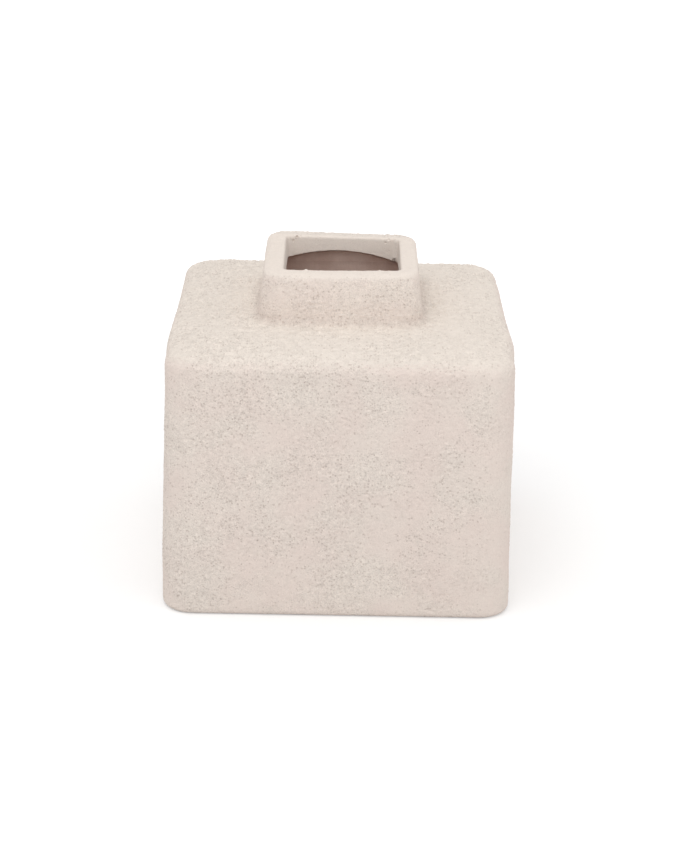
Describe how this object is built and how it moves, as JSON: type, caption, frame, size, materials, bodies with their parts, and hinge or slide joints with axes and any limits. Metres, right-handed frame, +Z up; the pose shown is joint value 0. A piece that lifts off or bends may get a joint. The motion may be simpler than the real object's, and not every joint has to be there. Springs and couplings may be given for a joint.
{
  "type": "square vase",
  "caption": "Near-cubic stoneware flower vase: slab-built square body, crowned shoulder and short square neck, with a sandy matt coat.",
  "frame": {"origin": "middle of the flat foot, on the surface that the vase stands on", "axes": "+Z up through the mouth; -Y is the side that faces the viewer in the picture, +X to that viewer's right"},
  "size_m": [0.154, 0.154, 0.144],
  "materials": {
    "coat": "chalky matt coat with fine sandy pits, off-white to pale pinkish beige",
    "rim_coat": "the same matt coat, wiped smoother at the lip and mouth",
    "bare_clay": "bare fired stoneware, pale pinkish brown, dull"
  },
  "bodies": {
    "root": {"base_slab": "coat", "front_wall": "coat", "right_wall": "coat", "back_wall": "coat", "left_wall": "coat", "shoulder_slab": "coat", "neck_front": "coat", "neck_right": "coat", "neck_back": "coat", "neck_left": "coat", "neck_coil": "coat", "lip_slab": "rim_coat", "base_coil": "bare_clay", "shoulder_coil": "bare_clay", "corner_coil_front_right": "bare_clay", "corner_coil_back_right": "bare_clay", "corner_coil_back_left": "bare_clay", "corner_coil_front_left": "bare_clay"}
  },
  "joints": []
}
